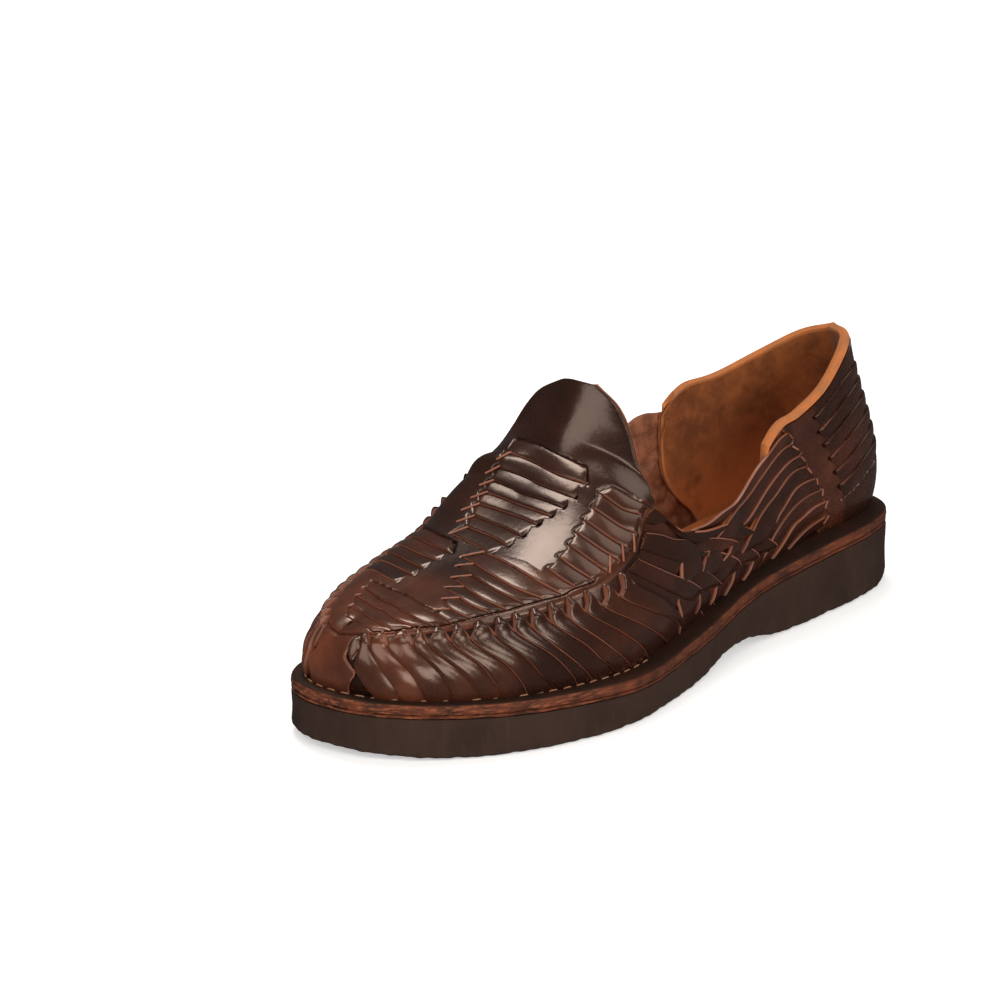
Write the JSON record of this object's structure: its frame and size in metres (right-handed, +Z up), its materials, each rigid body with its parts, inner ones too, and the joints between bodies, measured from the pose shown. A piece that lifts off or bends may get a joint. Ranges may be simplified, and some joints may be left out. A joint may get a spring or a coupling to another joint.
{
  "type": "woven leather slip-on shoe",
  "caption": "Closed-toe woven leather slip-on with a high tongue, braided rib skirt, open heel collar and thick rubber sole, for the left foot.",
  "frame": {"origin": "on the ground under the middle of the shoe's box", "axes": "+Z up, toe towards -Y, heel towards +Y, +X the wearer's left, which is the outer side of this left shoe"},
  "size_m": [0.1054, 0.29, 0.1091],
  "materials": {
    "rubber": "matte dark brown rubber",
    "midsole_leather": "stained raw leather edge",
    "insole_leather": "tan suede",
    "upper_leather": "glossy dark brown polished leather"
  },
  "bodies": {
    "root": {"outsole": "rubber", "midsole": "midsole_leather", "insole": "insole_leather", "upper": "upper_leather"}
  },
  "joints": []
}
